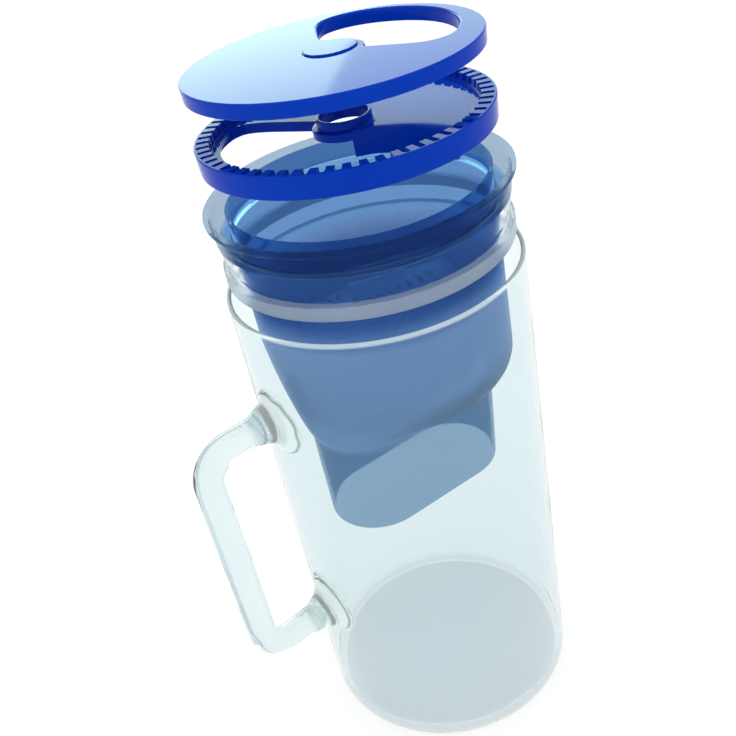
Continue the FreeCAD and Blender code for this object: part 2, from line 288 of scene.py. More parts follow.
def remap(nt, fac, lo, hi, a=0.3, b=0.7):
    r = nt.nodes.new("ShaderNodeMapRange")
    for k, v in (("From Min", a), ("From Max", b), ("To Min", lo), ("To Max", hi)):
        r.inputs[k].default_value = v
    nt.links.new(fac, r.inputs["Value"])
    return r.outputs["Result"]


def bump(nt, height, dist, strength=1.0, under=None):
    b = node(nt, "ShaderNodeBump", Strength=strength, Distance=dist)
    nt.links.new(height, b.inputs["Height"])
    if under is not None:
        nt.links.new(under, b.inputs["Normal"])
    return b.outputs["Normal"]


def axes(nt, co):
    sep = nt.nodes.new("ShaderNodeSeparateXYZ")
    nt.links.new(co, sep.inputs["Vector"])
    return sep.outputs["X"], sep.outputs["Y"], sep.outputs["Z"]


def radius(nt, co):
    x, y, z = axes(nt, co)
    flat = nt.nodes.new("ShaderNodeCombineXYZ")
    nt.links.new(x, flat.inputs["X"])
    nt.links.new(y, flat.inputs["Y"])
    ln = nt.nodes.new("ShaderNodeVectorMath")
    ln.operation = "LENGTH"
    nt.links.new(flat.outputs["Vector"], ln.inputs[0])
    return ln.outputs["Value"]


def blend(nt, fac, a, b):
    m = nt.nodes.new("ShaderNodeMix")
    m.data_type = "RGBA"
    nt.links.new(fac, m.inputs[0])
    nt.links.new(a, m.inputs[6])
    nt.links.new(b, m.inputs[7])
    return m.outputs[2]


def times(nt, a, b):
    k = nt.nodes.new("ShaderNodeMath")
    k.operation = "MULTIPLY"
    nt.links.new(a, k.inputs[0])
    nt.links.new(b, k.inputs[1])
    return k.outputs[0]


def stops(nt, fac, rows, lo, hi):
    # colour along one coordinate, from (place, colour) rows
    r = nt.nodes.new("ShaderNodeValToRGB")
    e = r.color_ramp.elements
    while len(e) < len(rows):
        e.new(0.5)
    for i, (x, c) in enumerate(rows):
        e[i].position = (x - lo) / (hi - lo)
        e[i].color = (*c, 1) if isinstance(c, tuple) else (c, c, c, 1)
    nt.links.new(remap(nt, fac, 0.0, 1.0, lo, hi), r.inputs["Fac"])
    return r.outputs["Color"]


def glass_wall():
    # clear borosilicate wall: faint aqua, a thick floor painted with a greyer shadow disc, a rim painted paler and half
    # diffuse as a painted highlight, hand-drawn waviness, a few wiping streaks
    m, nt, p = new_mat("clear_glass")
    co = coords(nt)
    p.inputs["IOR"].default_value = 1.15
    tint = noise(nt, co, 9.0, 2.0)
    z = axes(nt, co)[2]
    # painted highlight: above z 0.2232 the rim turns a paler aqua
    lo = stops(nt, z, [(0.2232, (0.825, 0.895, 0.912)), (0.2240, (0.80, 0.93, 0.935))], 0.0, 0.23)
    hi = stops(nt, z, [(0.2232, (0.850, 0.910, 0.925)), (0.2240, (0.86, 0.96, 0.965))], 0.0, 0.23)
    # painted shadow: the base floor is painted as a greyer disc with a clear edge, standing in for the jug's shadow on
    # the floor seen through it; just outside the disc a thin ring is painted nearly clear to lighten the rest of that
    # shadow
    off = nt.nodes.new("ShaderNodeVectorMath")
    off.operation = "ADD"
    off.inputs[1].default_value = (0.0016, 0.0024, 0.0)
    nt.links.new(co, off.inputs[0])
    out = radius(nt, off.outputs["Vector"])
    foot = times(nt, remap(nt, z, 1.0, 0.0, 0.0004, 0.0008), remap(nt, out, 1.0, 0.0, 0.0572, 0.0580))
    base_shadow_paint = blend(nt, remap(nt, out, 0.0, 1.0, 0.0552, 0.0557), ramp(nt, tint, (0.68, 0.735, 0.78), (0.72, 0.765, 0.81)), ramp(nt, tint, (0.96, 0.98, 0.985), (0.98, 0.99, 0.99)))
    nt.links.new(blend(nt, foot, blend(nt, tint, lo, hi), base_shadow_paint), p.inputs["Base Color"])
    # painted highlight: the rim is only half clear, so its paler paint shows as brightness
    nt.links.new(stops(nt, z, [(0.2232, 1.0), (0.2240, 0.50)], 0.2, 0.23), p.inputs["Transmission Weight"])
    nt.links.new(remap(nt, noise(nt, co, 140.0, 3.0), 0.0, 0.02), p.inputs["Roughness"])
    nt.links.new(bump(nt, noise(nt, co, 22.0, 1.5), 0.00035, 0.35), p.inputs["Normal"])
    return m


def glass_rod(name, ior):
    # the same glass in the solid rod and its welds, with darker rings in the pads
    m, nt, p = new_mat(name)
    co = coords(nt)
    p.inputs["IOR"].default_value = ior
    x, y, z = axes(nt, co)
    ring = None
    for zc in (0.181, 0.076):
        off = nt.nodes.new("ShaderNodeVectorMath")
        off.operation = "SUBTRACT"
        off.inputs[1].default_value = (0.0, 0.0, zc)
        nt.links.new(co, off.inputs[0])
        flat = nt.nodes.new("ShaderNodeVectorMath")
        flat.operation = "MULTIPLY"
        flat.inputs[1].default_value = (0.0, 1.0, 1.0)
        nt.links.new(off.outputs["Vector"], flat.inputs[0])
        ln = nt.nodes.new("ShaderNodeVectorMath")
        ln.operation = "LENGTH"
        nt.links.new(flat.outputs["Vector"], ln.inputs[0])
        if ring is None:
            ring = ln.outputs["Value"]
        else:
            k = nt.nodes.new("ShaderNodeMath")
            k.operation = "MINIMUM"
            nt.links.new(ring, k.inputs[0])
            nt.links.new(ln.outputs["Value"], k.inputs[1])
            ring = k.outputs[0]
    # the rings wander a little
    wob = nt.nodes.new("ShaderNodeMath")
    wob.operation = "ADD"
    nt.links.new(ring, wob.inputs[0])
    nt.links.new(remap(nt, noise(nt, co, 90.0, 2.0), -0.0006, 0.0006), wob.inputs[1])
    # darker rings round each pad's axis, darkest near the pad's edge
    swirl = stops(nt, wob.outputs[0], [(0.0058, (0.84, 0.92, 0.92)), (0.0068, (0.60, 0.79, 0.76)), (0.0076, (0.88, 0.94, 0.94)), (0.0092, (0.70, 0.85, 0.83)),
                                       (0.0101, (0.88, 0.94, 0.94)), (0.0129, (0.84, 0.92, 0.92)), (0.0137, (0.16, 0.29, 0.27)), (0.0144, (0.78, 0.88, 0.88))], 0.0, 0.02)
    rod = ramp(nt, noise(nt, co, 12.0, 2.0), (0.74, 0.845, 0.865), (0.79, 0.875, 0.89))
    pad = remap(nt, x, 0.0, 1.0, -0.0725, -0.0690)
    nt.links.new(blend(nt, pad, rod, swirl), p.inputs["Base Color"])
    nt.links.new(remap(nt, pad, 1.0, 0.58, 0.0, 1.0), p.inputs["Transmission Weight"])
    nt.links.new(remap(nt, noise(nt, co, 140.0, 3.0), 0.0, 0.03), p.inputs["Roughness"])
    nt.links.new(bump(nt, noise(nt, co, 60.0, 2.0), 0.0005, 0.5), p.inputs["Normal"])
    return m


def hopper_mat():
    # translucent blue moulding: deeper tint higher up the wall, milkier bowl, greyer collar and flange, painted shade
    # on the bowl's lower curve, faint flow marks
    m, nt, p = new_mat("hopper_blue")
    co = coords(nt)
    p.inputs["IOR"].default_value = 1.03
    flow = noise(nt, co, 14.0, 3.0)
    x, y, z = axes(nt, co)
    lo = stops(nt, z, [(0.1565, (0.322, 0.455, 0.618)), (0.1600, (0.322, 0.508, 0.800)), (0.215, (0.308, 0.498, 0.800)), (0.228, (0.146, 0.312, 0.615))], 0.11, 0.27)
    hi = stops(nt, z, [(0.1565, (0.352, 0.490, 0.652)), (0.1600, (0.354, 0.544, 0.845)), (0.215, (0.340, 0.534, 0.845)), (0.228, (0.164, 0.338, 0.655))], 0.11, 0.27)
    body = blend(nt, flow, lo, hi)
    # painted shade: the bowl's lower curve, away from the handle, is painted darker, standing in for its underside in
    # shadow
    turn = times(nt, remap(nt, z, 0.0, 1.0, 0.157, 0.161), remap(nt, z, 1.0, 0.0, 0.174, 0.192))
    underside_shade = times(nt, turn, remap(nt, x, 0.0, 0.9, -0.045, 0.005))
    body = blend(nt, underside_shade, body, ramp(nt, flow, (0.185, 0.295, 0.450), (0.205, 0.320, 0.480)))
    pale = ramp(nt, flow, (0.330, 0.44, 0.565), (0.360, 0.47, 0.605))
    rim = times(nt, remap(nt, z, 0.0, 1.0, 0.2484, 0.2492), remap(nt, radius(nt, co), 0.0, 1.0, 0.0540, 0.0554))
    nt.links.new(blend(nt, rim, body, pale), p.inputs["Base Color"])
    nt.links.new(stops(nt, z, [(0.1565, 0.90), (0.1600, 0.40), (0.214, 0.40), (0.226, 0.88), (0.2484, 0.88), (0.2490, 0.99)], 0.11, 0.27), p.inputs["Transmission Weight"])
    nt.links.new(remap(nt, noise(nt, co, 60.0, 4.0), 0.16, 0.24), p.inputs["Roughness"])
    nt.links.new(bump(nt, noise(nt, co, 900.0, 2.0), 0.00001, 0.03), p.inputs["Normal"])
    return m


def gasket_mat():
    # silicone: thin clear skirt, thick cloudy sealing band
    m, nt, p = new_mat("clear_silicone")
    co = coords(nt)
    p.inputs["IOR"].default_value = 1.05
    z = axes(nt, co)[2]
    band = remap(nt, z, 1.0, 0.0, 0.2382, 0.2389)
    cloud = noise(nt, co, 40.0, 3.0)
    nt.links.new(blend(nt, band, ramp(nt, cloud, (0.88, 0.91, 0.93), (0.93, 0.95, 0.96)), ramp(nt, cloud, (0.555, 0.645, 0.71), (0.61, 0.70, 0.765))),
                 p.inputs["Base Color"])
    nt.links.new(remap(nt, band, 1.0, 0.70, 0.0, 1.0), p.inputs["Transmission Weight"])
    haze = node(nt, "ShaderNodeTexNoise", Scale=220.0, Detail=3.0)
    nt.links.new(co, haze.inputs["Vector"])
    nt.links.new(blend(nt, band, ramp(nt, haze.outputs["Fac"], (0.14, 0.14, 0.14), (0.22, 0.22, 0.22)), ramp(nt, haze.outputs["Fac"], (0.30, 0.30, 0.30), (0.40, 0.40, 0.40))),
                 p.inputs["Roughness"])
    nt.links.new(bump(nt, noise(nt, co, 1500.0, 2.0), 0.00001, 0.03), p.inputs["Normal"])
    return m


def silicone_mat(name, lo, hi, rough):
    m, nt, p = new_mat(name)
    co = coords(nt)
    p.inputs["IOR"].default_value = 1.41
    p.inputs["Specular IOR Level"].default_value = 0.4
    nt.links.new(ramp(nt, noise(nt, co, 30.0, 3.0), lo, hi), p.inputs["Base Color"])
    nt.links.new(remap(nt, noise(nt, co, 220.0, 3.0), rough - 0.06, rough + 0.06), p.inputs["Roughness"])
    nt.links.new(bump(nt, noise(nt, co, 1500.0, 2.0), 0.00004, 0.3), p.inputs["Normal"])
    return m


def gloss_mat():
    # polished royal blue moulding: slow colour drift, orange peel, fine dust and rub marks
    m, nt, p = new_mat("gloss_blue")
    co = coords(nt)
    p.inputs["IOR"].default_value = 1.13
    nt.links.new(ramp(nt, noise(nt, co, 11.0, 3.0), (0.0006, 0.033, 0.400), (0.0010, 0.042, 0.445)), p.inputs["Base Color"])
    rub = node(nt, "ShaderNodeTexNoise", Scale=1.0, Detail=4.0, Roughness=0.6)
    sc = node(nt, "ShaderNodeMapping")
    sc.inputs["Scale"].default_value = (700.0, 60.0, 60.0)
    sc.inputs["Rotation"].default_value = (0.0, 0.0, 0.5)
    nt.links.new(co, sc.inputs["Vector"])
    nt.links.new(sc.outputs["Vector"], rub.inputs["Vector"])
    nt.links.new(remap(nt, rub.outputs["Fac"], 0.04, 0.08), p.inputs["Roughness"])
    peel = bump(nt, noise(nt, co, 260.0, 2.0), 0.00004, 0.06)
    nt.links.new(bump(nt, noise(nt, co, 2600.0, 2.0), 0.00001, 0.06, peel), p.inputs["Normal"])
    return m


def matte_mat(name, lo, hi, rough, grain):
    m, nt, p = new_mat(name)
    co = coords(nt)
    p.inputs["IOR"].default_value = 1.3
    nt.links.new(ramp(nt, noise(nt, co, 20.0, 4.0), lo, hi), p.inputs["Base Color"])
    nt.links.new(remap(nt, noise(nt, co, 300.0, 3.0), rough - 0.08, rough + 0.08), p.inputs["Roughness"])
    nt.links.new(bump(nt, noise(nt, co, grain, 3.0), 0.00005, 0.35), p.inputs["Normal"])
    return m


def mesh_mat():
    # woven screen: two crossed sets of threads
    m, nt, p = new_mat("screen_mesh")
    co = coords(nt)
    waves = []
    for axis in ("X", "Y"):
        w = node(nt, "ShaderNodeTexWave", Scale=420.0, Distortion=0.4)
        w.bands_direction = axis
        nt.links.new(co, w.inputs["Vector"])
        waves.append(w.outputs["Fac"])
    mx = nt.nodes.new("ShaderNodeMath")
    mx.operation = "MAXIMUM"
    nt.links.new(waves[0], mx.inputs[0])
    nt.links.new(waves[1], mx.inputs[1])
    nt.links.new(ramp(nt, mx.outputs[0], (0.55, 0.58, 0.62), (0.88, 0.90, 0.92), 0.35, 0.8), p.inputs["Base Color"])
    nt.links.new(bump(nt, mx.outputs[0], 0.0002, 0.8), p.inputs["Normal"])
    nt.links.new(remap(nt, mx.outputs[0], 0.7, 0.45, 0.2, 0.9), p.inputs["Roughness"])
    return m


def grain_mat():
    # bed of resin beads and carbon grains
    m, nt, p = new_mat("filter_grains")
    co = coords(nt)
    v = node(nt, "ShaderNodeTexVoronoi", Scale=1100.0)
    nt.links.new(co, v.inputs["Vector"])
    nt.links.new(ramp(nt, v.outputs["Color"], (0.10, 0.11, 0.13), (0.74, 0.76, 0.78), 0.2, 0.4), p.inputs["Base Color"])
    nt.links.new(bump(nt, v.outputs["Distance"], 0.0006, 0.9), p.inputs["Normal"])
    nt.links.new(remap(nt, noise(nt, co, 500.0, 2.0), 0.45, 0.8), p.inputs["Roughness"])
    return m


GLASS, HOPPER, GLOSS = glass_wall(), hopper_mat(), gloss_mat()
PAD_GLASS, ROD_GLASS = glass_rod("clear_glass_pad", 1.22), glass_rod("clear_glass_rod", 1.42)
SIL = gasket_mat()
GREY = silicone_mat("grey_silicone", (0.70, 0.73, 0.75), (0.80, 0.82, 0.84), 0.45)
CARP = matte_mat("cartridge_plastic", (0.74, 0.86, 0.95), (0.82, 0.91, 0.98), 0.45, 900.0)
MESH, GRAIN = mesh_mat(), grain_mat()


def done(ob, mat, body, slot, *nodes):
    ob.data.materials.clear()
    ob.data.materials.append(mat)
    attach(ob, body)
    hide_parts(*nodes)


# ------------------------------------------------------------------ jug and handle
JR, JW, JH, JF = 60.0, 1.8, 225.0, 3.6
prof = [(0.0, 0.0)] + run((0, 0), (56.5, 0), 8) + arc(56.5, 3.5, 3.5, -90, 0, 12)
prof += [(JR, 3.9)] + run((JR, 3.9), (JR, JH - 1.2), 3.2) + [(JR, JH - 1.2)] + arc(JR - 0.9, JH - 0.9, 0.9, 0, 180, 10)
prof += [(JR - JW, JH - 1.2)] + run((JR - JW, JH - 1.2), (JR - JW, JF + 5.4), 9) + [(JR - JW, JF + 5.4)] + arc(JR - JW - 5.0, JF + 5.0, 5.0, 0, -90, 10)
prof += run((JR - JW - 5.0, JF), (0, JF), 8) + [(0.0, JF)]
jug = lathe("jug_glass", prof, 240)

ROD, GX, HI, LO, PHI, PLO, BR = 6.0, -94.6, 183.0, 74.8, 181.0, 76.0, 12.5
# pad and neck: (radius from the arm's line, stand-off from the wall)
flow = [(14.7, -0.55), (14.35, 0.1), (13.7, 0.72), (12.6, 1.3), (11.2, 1.85), (10.2, 2.45), (9.3, 3.25), (8.45, 4.3), (7.8, 5.6),
        (7.2, 7.0), (6.65, 8.6), (6.2, 10.4), (6.02, 12.2)]
M = 56


def ease(t):
    t = min(max(t, 0.0), 1.0)
    return t * t * (3 - 2 * t)


def pad_rings(zp, za, flip):
    out = []
    for rad, t in flow:
        zc = zp + (za - zp) * ease(t / 6.0)
        w = ease((t - 0.8) / 9.0)
        r = []
        for j in range(M):
            a = 2 * math.pi * j / M * flip
            y, z = rad * math.sin(a), zc + rad * math.cos(a)
            x = -((1 - w) * math.sqrt(JR * JR - y * y) + w * JR) - t
            r.append((x, y, z))
        out.append(r)
    return out


def rod_ring(px, pz, tx, tz):
    # circle round a point of the handle's line, which runs in the XZ plane
    nx, nz = -tz, tx
    return [(px + ROD * math.cos(2 * math.pi * j / M) * nx, ROD * math.sin(2 * math.pi * j / M),
             pz + ROD * math.cos(2 * math.pi * j / M) * nz) for j in range(M)]


rings = pad_rings(PHI, HI, 1)
cx = GX + BR
for i in range(1, 4):
    x = -(JR + 12.2) + (cx + JR + 12.2) * i / 4
    rings.append(rod_ring(x, HI, 1, 0))
for i in range(17):
    a = math.radians(90 + 90 * i / 16)
    rings.append(rod_ring(cx + BR * math.cos(a), HI - BR + BR * math.sin(a), math.sin(a), -math.cos(a)))
for i in range(1, 16):
    rings.append(rod_ring(GX, HI - BR + (LO - HI + 2 * BR) * i / 16, 0, 1))
for i in range(17):
    a = math.radians(180 + 90 * i / 16)
    rings.append(rod_ring(cx + BR * math.cos(a), LO + BR + BR * math.sin(a), math.sin(a), -math.cos(a)))
for i in range(1, 4):
    x = cx + (-(JR + 12.2) - cx) * i / 4
    rings.append(rod_ring(x, LO, -1, 0))
low = list(reversed(pad_rings(PLO, LO, 1)))
# the lower arm's rings start at their lowest point, the upper ones at their highest
rings += [[r[(M // 2 - j) % M] for j in range(M)] for r in low]
handle = rings_obj("handle_glass", rings, caps=True)
boolean(jug, handle, "UNION")
tidy(jug)
smooth(jug, 60)
done(jug, GLASS, "jug", "clear_glass", "jug_body", "handle_bar", "handle_pad_upper", "handle_pad_lower")
jug.data.materials.append(PAD_GLASS)
jug.data.materials.append(ROD_GLASS)
for f in jug.data.polygons:
    c = f.center
    if math.hypot(c.x, c.y) > (JR + 0.06) * MM:
        f.material_index = 1 if c.x > -0.0722 else 2

# ------------------------------------------------------------------ hopper
TURN = math.radians(-3.3)
SX, BZ, SZ0, SZ1, BODY = 1.2, 159.0, 115.1, 160.5, 51.2
NS = 216


def oval_radius(t, a, b, sx):
    ux, uy = math.cos(t), abs(math.sin(t))
    c = a - b
    if uy > 1e-9 and abs(b / uy * ux - sx) <= c:
        return b / uy
    e = sx + c if ux > 0 else sx - c
    return e * ux + math.sqrt(max(b * b - e * e * uy * uy, 0.0))


def belly(t, z, rc, a, b, zb):
    k = (0.5 - 0.5 * math.cos(t)) ** 2
    zt, p = zb + 24 + 28 * k, 1.62 - 0.27 * k
    ro = oval_radius(t, a, b, SX)
    s = min(max((zt - z) / (zt - zb), 0.0), 1.0)
    return ro + (rc - ro) * max(1 - s ** p, 0.0) ** (1 / p)


def ring_of(fun, z):
    out = []
    for j in range(NS):
        t = 2 * math.pi * j / NS
        r = fun(t)
        out.append((r * math.cos(t + TURN), r * math.sin(t + TURN), z))
    return out


def oval_row(a, b, z, sx):
    return ring_of(lambda t: oval_radius(t, a, b, sx), z)


SA, SB, DR, HW = 42.3, 22.65, 1.3, 1.5
rows = []
for d, z in ((0.62, 0.0), (0.28, 0.06), (0.08, 0.26), (0.0, 0.6)):
    rows.append(oval_row(SA - d, SB - d, SZ0 + z, 0.0))
for i in range(1, 7):
    f = i / 7
    z = SZ0 + 0.6 + (BZ - SZ0 - 0.6) * f
    rows.append(oval_row(SA + DR * f, SB + DR * f, z, SX * f))
steps = [0.0, 0.12, 0.35, 0.7, 1.2, 1.9, 2.8, 4.0, 5.5, 7.3, 9.5, 12, 15, 18.5, 22.5, 27, 32, 37, 41.5, 45.5, 49, 51.5, 53.5]
for d in steps:
    rows.append(ring_of(lambda t: belly(t, BZ + d, BODY - 0.05, SA + DR + 0.1, SB + DR + 0.1, BZ), BZ + d))
crown = fillet([(BODY, 218, 0), (BODY + 0.05, 249.5, 1.2), (57.1, 249.5, 0.9), (57.85, 258.7, 0.5), (59.7, 258.7, 0.45), (59.7, 260.7, 0.7),
                (57.1, 260.7, 0.6), (56.1, 251.0, 1.6), (51.35, 251.0, 0.6), (51.2, 260.3, 0.35), (49.75, 260.3, 0.35), (49.7, 255.0, 0),
                (49.7, 217, 0)], closed=False, n=5)
for r, z in crown:
    rows.append(ring_of(lambda t: r, z))
for d in reversed(steps):
    rows.append(ring_of(lambda t: belly(t, SZ1 + d, BODY - HW - 0.02, SA + DR - HW + 0.9, SB + DR - HW + 0.9, SZ1), SZ1 + d))
rows.append(oval_row(SA + DR - HW + 0.25, SB + DR - HW + 0.25, SZ1 - 0.03, SX))
rows.append(oval_row(SA + DR - HW, SB + DR - HW, SZ1 - 0.3, SX))
for i in range(6, 0, -1):
    f = i / 7
    z = SZ0 + 0.6 + (SZ1 - 0.3 - SZ0 - 0.6) * f
    rows.append(oval_row(SA + DR * f - HW, SB + DR * f - HW, z, SX * f))
for d, z in ((0.0, 0.6), (-0.08, 0.26), (-0.28, 0.06)):
    rows.append(oval_row(SA - HW - d, SB - HW - d, SZ0 + z, 0.0))
hopper = rings_obj("hopper_bowl", rows, closed=True)
smooth(hopper, 50)
done(hopper, HOPPER, "hopper_unit", "hopper_blue", "hopper")

# ------------------------------------------------------------------ gasket
g = 232.8
gp = fillet([(51.45, 247.9, 0.3), (51.45, 249.42, 0.3), (56.5, 249.42, 0.3), (56.8, 248.8, 0.4), (55.7, g + 9.6, 1.5), (55.4, g + 8.0, 0.8),
             (55.7, g + 7.2, 0.5), (57.15, g + 6.6, 0.5), (57.45, g + 6.0, 0.6), (57.45, g + 0.7, 0.6), (56.95, g, 0.5), (55.95, g, 0.4),
             (55.55, g + 0.6, 0.5), (54.4, g + 5.6, 1.5), (54.0, g + 8.0, 1.5), (54.4, g + 10.0, 1.0), (55.2, 247.6, 0.8)], n=4)
gasket = lathe("gasket_band", gp, 216, closed=True)
smooth(gasket, 50)
done(gasket, SIL, "hopper_unit", "clear_silicone", "hopper_gasket")

# ------------------------------------------------------------------ shutter ring
RZ0, RZ1, LZ = 277.7, 286.4, 283.0
rp = fillet([(52.1, RZ0, 0.3), (55.25, RZ0, 0.6), (55.6, RZ1, 0.55), (49.75, RZ1, 0.35), (49.7, LZ, 0.3), (46.6, LZ, 0.25), (46.6, LZ - 1.5, 0.25),
             (49.3, LZ - 1.5, 0.5), (51.4, RZ0 + 3.0, 0.5), (52.1, RZ0 + 2.4, 0.4)], n=4)
ring = lathe("shutter_ring_body", rp, 240, closed=True)
verts, faces = [], []
for i in range(60):
    a = math.radians(6.0 * i + 3.0)
    ca, sa = math.cos(a), math.sin(a)
    b = len(verts)
    for x, y in ((48.1, -1.25), (54.3, -1.25), (54.6, -0.95), (54.6, 0.95), (54.3, 1.25), (48.1, 1.25)):
        for z in (RZ1 - 2.6, RZ1 + 1.0):
            verts.append((x * ca - y * sa, x * sa + y * ca, z))
    faces.append(tuple(b + 2 * k for k in range(6)))
    faces.append(tuple(b + 2 * k + 1 for k in range(6)))
    for k in range(6):
        q = (k + 1) % 6
        faces.append((b + 2 * k, b + 2 * q, b + 2 * q + 1, b + 2 * k + 1))
boolean(ring, mesh_obj("slots", verts, faces), "DIFFERENCE")

edge_l = [(9.3, 110), (15.6, 111), (25.8, 113), (34.8, 114), (42.0, 116), (45.6, 119.5), (47.6, 126), (48.6, 136), (48.9, 146)]
edge_r = [(11.3, -116), (12.2, -102), (14.6, -87), (19.2, -79.5), (25.0, -75.2), (31.0, -74.6), (37.5, -76.4), (42.6, -77.6), (46.5, -77.8), (49.0, -77.0)]


def strip(path, w, z0, z1, name):
    line = spline([polar(r, a) for r, a in path], 40, False)
    nrm = normals2(line, False)
    pts = [p + n * (w / 2) for p, n in zip(line, nrm)] + [p - n * (w / 2) for p, n in reversed(list(zip(line, nrm)))]
    pts = [p if p.length <= 49.3 else p * (49.3 / p.length) for p in pts]
    return prism(name, pts, z0, z1), line


wall_l, line_l = strip(edge_l, 1.7, LZ - 3.6, LZ + 0.3, "wall_l")
wall_r, line_r = strip(edge_r, 1.7, LZ - 9.4, LZ + 0.3, "wall_r")
outline = list(line_l) + [Vector(polar(49.25, 146 - 223 * i / 72)) for i in range(1, 72)] + list(reversed(line_r))
outline += [Vector(polar(9.3, -88 + 198 * i / 20)) for i in range(1, 20)]
plate = prism("plate", outline, LZ - 1.5, LZ - 0.05)
hp = fillet([(9.1, 279.8, 0.3), (12.4, 279.8, 0.45), (12.4, LZ - 0.05, 0.5), (10.4, LZ + 0.05, 0.4), (10.4, RZ1, 0.45), (9.1, RZ1, 0.35)], n=4)
hub = lathe("hub", hp, 96, closed=True)
# the foot runs only round the near side
ca, sa = math.cos(math.radians(56.4)), math.sin(math.radians(56.4))
gap = [Vector((x * ca - y * sa, x * sa + y * ca)) for x, y in ((2, -20), (32, -20), (32, 20), (2, 20))]
boolean(hub, prism("foot_gap", gap, LZ - 5.5, LZ - 1.45), "DIFFERENCE")
for part in (wall_l, wall_r, plate):
    boolean(ring, part, "UNION")
bore = lathe("bore", [(0.0, RZ0 - 12), (9.9, RZ0 - 12), (9.9, RZ1 + 5), (0.0, RZ1 + 5)], 96)
boolean(ring, bore, "DIFFERENCE")
boolean(ring, hub, "UNION")
tidy(ring)
smooth(ring, 38)
flats(ring)
done(ring, GLOSS, "ring", "gloss_blue", "shutter_ring")

# ------------------------------------------------------------------ lid
LZ0, LZ1, LR = 304.2, 309.6, 54.2
lp = fillet([(0.0, LZ1 - 2.0, 0), (LR - 1.5, LZ1 - 2.0, 0.8), (LR - 1.8, LZ0, 0.35), (LR - 0.1, LZ0, 0.5), (LR, LZ1, 0.7), (0.0, LZ1, 0)],
            closed=False, n=6)
lid = lathe("lid_cover", lp, 240)
boss = lathe("boss", [(0.0, 304.5), (10.1, 304.5), (10.4, 304.8), (10.4, LZ1 - 1.0), (0.0, LZ1 - 1.0)], 96)
mouth = [(13.6, -60), (22.0, -61.5), (31.0, -61.6), (37.0, -59.5), (41.2, -54.5), (43.6, -47.5), (44.9, -38.6), (46.2, -30), (47.4, -20),
         (48.6, -8), (49.5, 4), (49.9, 16), (50.0, 26), (49.9, 35), (49.0, 44), (47.0, 51.5), (43.4, 57.5), (37.6, 61.2), (30.0, 63),
         (22.0, 65), (15.5, 66), (12.6, 52), (12.1, 20), (12.1, -15), (12.4, -44)]
NM = 220
line = spline([polar(r, a) for r, a in mouth], NM, True)
out = [-n for n in normals2(line, True)]


def grown(d, limit=1e9):
    pts = [p + n * d for p, n in zip(line, out)]
    return [p if p.length <= limit else p * (limit / p.length) for p in pts]


collar = prism("collar", grown(1.5, LR - 0.9), LZ0 + 0.02, LZ1 - 1.0)
boolean(lid, boss, "UNION")
boolean(lid, collar, "UNION")
cut = [[(p.x, p.y, LZ0 - 4) for p in grown(0.35)], [(p.x, p.y, LZ0 - 0.02) for p in grown(0.35)], [(p.x, p.y, LZ0 + 0.1) for p in grown(0.12)],
       [(p.x, p.y, LZ0 + 0.35) for p in grown(0.0)]]
lip = 1.0
for i in range(7):
    a = math.radians(90 * i / 6)
    cut.append([(p.x, p.y, LZ1 - lip + lip * math.sin(a)) for p in grown(lip * (1 - math.cos(a)))])
cut.append([(p.x, p.y, LZ1 + 2) for p in grown(lip + 0.4)])
boolean(lid, rings_obj("mouth", cut, caps=True), "DIFFERENCE")
hole = lathe("hole", [(0.0, 295.0), (6.0, 295.0), (6.0, LZ1 - 0.6), (9.9, LZ1 - 0.6), (10.0, LZ1 - 0.5), (10.0, LZ1 - 0.15), (10.3, LZ1 + 0.1),
                      (10.3, LZ1 + 3), (0.0, LZ1 + 3)], 96)
boolean(lid, hole, "DIFFERENCE")
tidy(lid)
smooth(lid, 38)
flats(lid)
done(lid, GLOSS, "lid_disc", "gloss_blue", "lid")

# ------------------------------------------------------------------ pivot
sp = fillet([(0.0, 294.6, 0), (4.5, 294.6, 0.3), (4.5, 304.4, 0.2), (5.95, 304.4, 0.2), (5.95, LZ1 - 0.5, 0.2), (9.6, LZ1 - 0.5, 0.2),
             (9.6, LZ1 + 0.6, 0.35), (0.0, LZ1 + 0.6, 0)], closed=False, n=5)
stud = lathe("pivot_head", sp, 128)
smooth(stud, 40)
flats(stud)
done(stud, GLOSS, "pivot", "gloss_blue", "pivot_stud")
pp = fillet([(4.52, 293.6, 0.3), (9.04, 293.6, 0.9), (9.04, 304.4, 0.3), (4.52, 304.4, 0.2)], n=5)
plug = lathe("pivot_sleeve", pp, 128, closed=True)
smooth(plug, 40)
flats(plug)
done(plug, GLOSS, "pivot", "gloss_blue", "pivot_plug")

# ------------------------------------------------------------------ cartridge
for name, mat in (("cartridge_shell", CARP), ("cartridge_cap", CARP), ("cartridge_seal", GREY), ("cartridge_bottom_screen", MESH),
                  ("cartridge_top_screen", MESH), ("filter_media", GRAIN)):
    ob = NODES[name]
    ob.data.materials.clear()
    ob.data.materials.append(mat)

# ------------------------------------------------------------------ floor
floor = lathe("floor", [(0.0, -0.2), (300, -0.2), (1200, -0.2), (4000, -0.2), (4000, -20.0), (0.0, -20.0)], 96)
m, nt, p = new_mat("floor_paper")
co = coords(nt)
p.inputs["Specular IOR Level"].default_value = 0.0
nt.links.new(ramp(nt, noise(nt, co, 3.0, 4.0), (0.265, 0.265, 0.265), (0.285, 0.285, 0.285)), p.inputs["Base Color"])
nt.links.new(bump(nt, noise(nt, co, 700.0, 3.0), 0.00005, 0.1), p.inputs["Normal"])
p.inputs["Roughness"].default_value = 0.9
